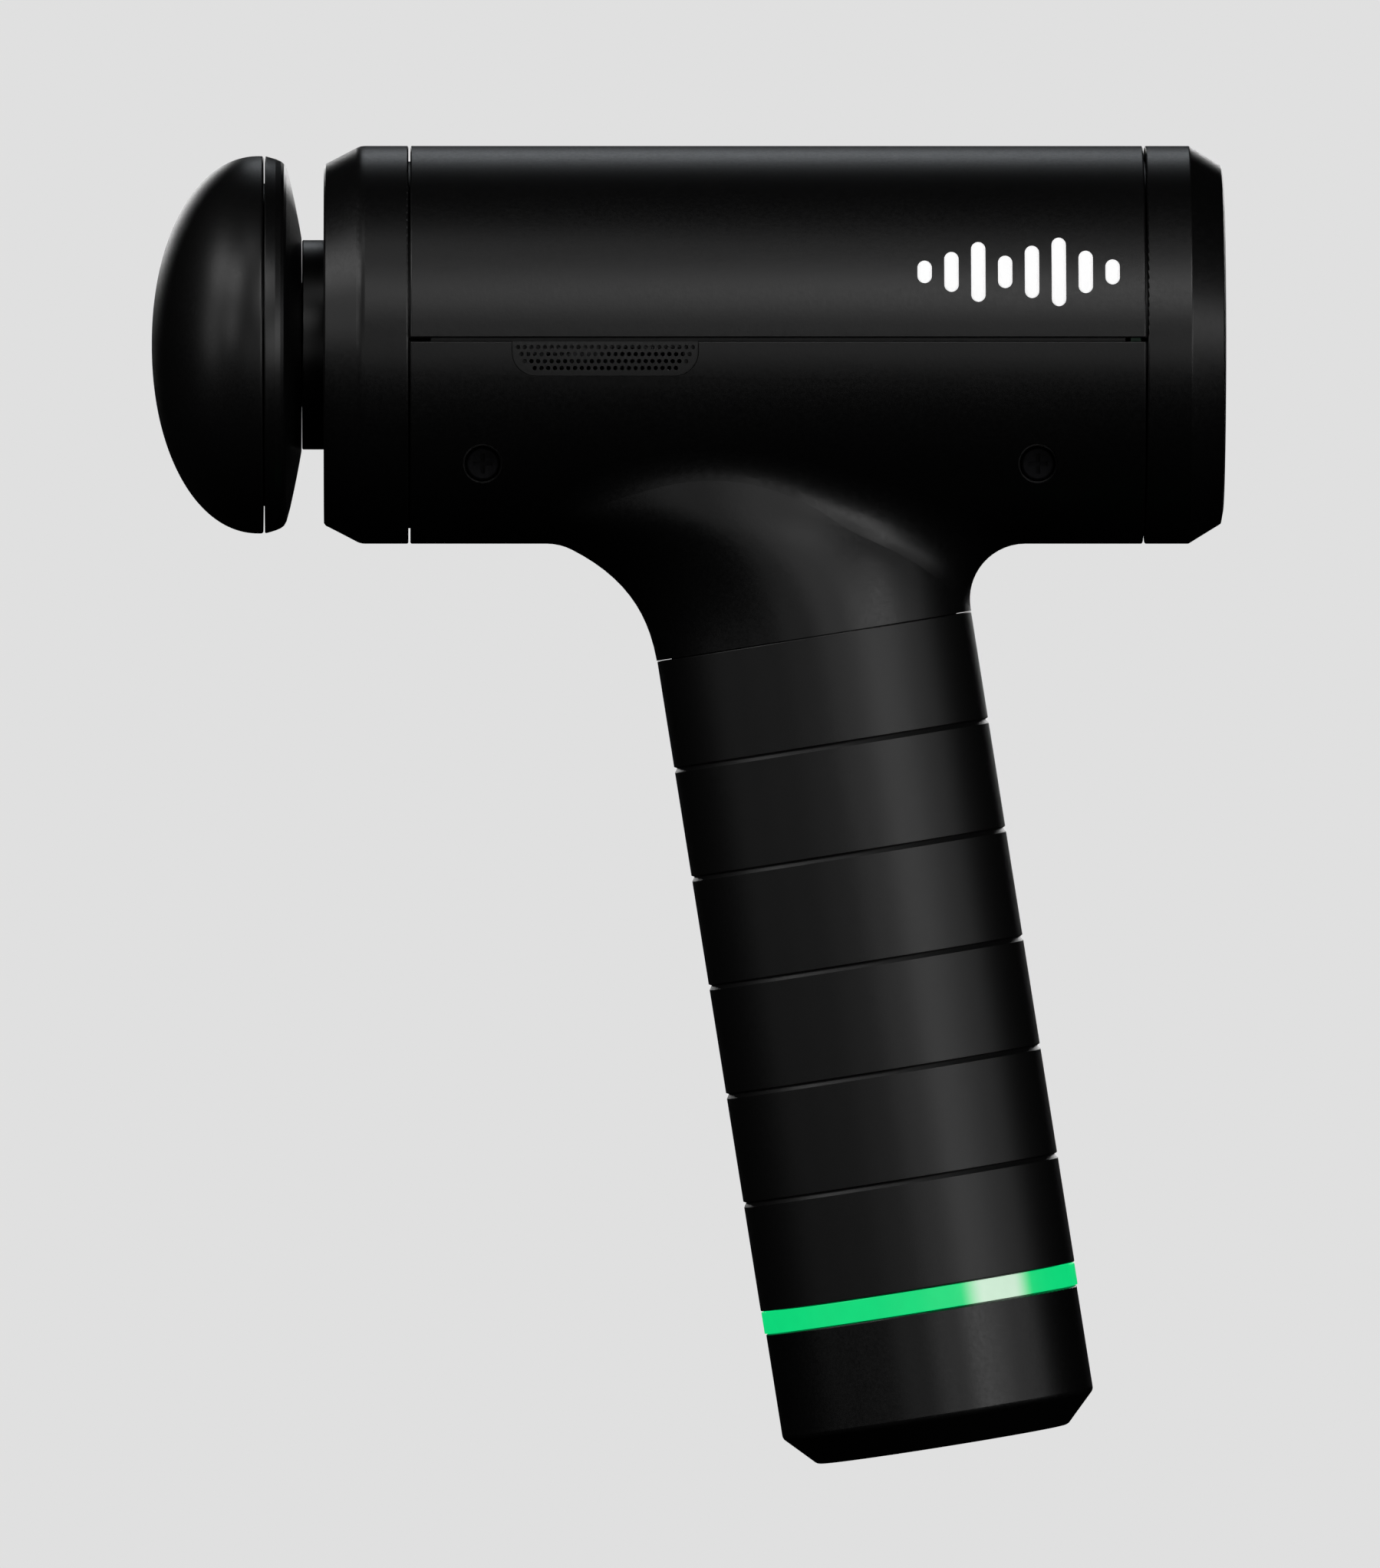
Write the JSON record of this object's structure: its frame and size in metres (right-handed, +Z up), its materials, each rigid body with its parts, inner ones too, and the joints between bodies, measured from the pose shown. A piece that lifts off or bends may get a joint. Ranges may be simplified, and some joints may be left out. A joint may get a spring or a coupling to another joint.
{
  "type": "massage gun",
  "caption": "Cordless percussion massager: round barrel on a tilted ribbed grip, pull-off cushion head, lit ring, rear button and charging socket in the foot.",
  "frame": {"origin": "under the middle of the object, at the lowest point of the foot of the handle", "axes": "+X along the barrel to its rear, the head points along -X; +Z up; +Y to the object's right side"},
  "size_m": [0.1725, 0.064, 0.212],
  "materials": {
    "body_plastic": "fine matte texture",
    "grip_silicone": "satin",
    "cushion_foam": "matte",
    "soft_rubber": "matte",
    "inner_plastic": "satin",
    "light_lens": "translucent, lit",
    "light_window": "translucent",
    "board_green": "satin",
    "chip_black": "satin",
    "collar_alloy": "black anodised",
    "frame_alloy": "cast, satin",
    "steel": "satin",
    "black_steel": "black oxide",
    "magnet": "nickel",
    "bronze": "satin",
    "copper": "enamelled",
    "contact_metal": "plated",
    "cell_wrap": "shrink wrapped",
    "nickel_strip": "bright",
    "lead_jacket": "satin"
  },
  "bodies": {
    "gun_body": {"left_housing": "body_plastic", "right_housing": "body_plastic", "top_cover": "body_plastic", "front_cap": "body_plastic", "front_seal": "soft_rubber", "rear_cap": "body_plastic", "speed_lights": "light_window", "left_grille": "body_plastic", "right_grille": "body_plastic", "grip_sleeve": "grip_silicone", "light_ring": "light_lens", "light_ring_board": "board_green", "base_cap": "body_plastic", "base_screws": "black_steel", "housing_screws": "black_steel", "charge_socket": "inner_plastic", "charge_pin": "contact_metal", "battery_cells": "cell_wrap", "cell_links": "nickel_strip", "cell_holder_upper": "inner_plastic", "cell_holder_lower": "inner_plastic", "battery_board": "board_green", "battery_lead": "lead_jacket", "drive_frame": "frame_alloy", "guide_bush": "bronze", "front_isolator": "soft_rubber", "rear_isolator": "soft_rubber", "motor_base": "frame_alloy", "motor_stator": "steel", "motor_windings": "copper", "motor_bearings": "steel", "motor_screws": "black_steel", "main_board": "board_green", "board_capacitors": "chip_black", "board_chips": "chip_black", "button_board": "board_green", "button_switch": "chip_black"},
    "rotor": {"rotor_bell": "steel", "rotor_magnets": "magnet", "motor_shaft": "steel", "crank_disc": "steel", "crank_pin": "steel", "crank_bearing": "steel", "cooling_fan": "inner_plastic"},
    "plunger": {"plunger_piston": "collar_alloy", "plunger_rod": "steel", "drive_yoke": "frame_alloy", "socket_liner": "inner_plastic", "yoke_screw": "black_steel"},
    "head": {"head_cushion": "cushion_foam", "head_base": "body_plastic", "head_stem": "inner_plastic", "stem_rings": "soft_rubber"},
    "button": {"power_button": "body_plastic"}
  },
  "joints": [
    {"name": "crank_turn", "type": "hinge", "parent": "gun_body", "child": "rotor", "pos_m": [0.013, 0, 0.18002], "axis": [0, 0, 1], "range_deg": [0, 180]},
    {"name": "plunger_stroke", "type": "slide", "parent": "gun_body", "child": "plunger", "axis": [-1, 0, 0], "range_m": [0, 0.012]},
    {"name": "head_release", "type": "slide", "parent": "plunger", "child": "head", "axis": [-1, 0, 0], "range_m": [0, 0.03]},
    {"name": "button_press", "type": "slide", "parent": "gun_body", "child": "button", "axis": [-1, 0, 0], "range_m": [0, 0.0008], "stiffness_N_per_m": 2000}
  ],
  "couplings": [
    {"joint": "plunger_stroke", "follows": "crank_turn", "m_per_rad": 0.0038197}
  ]
}
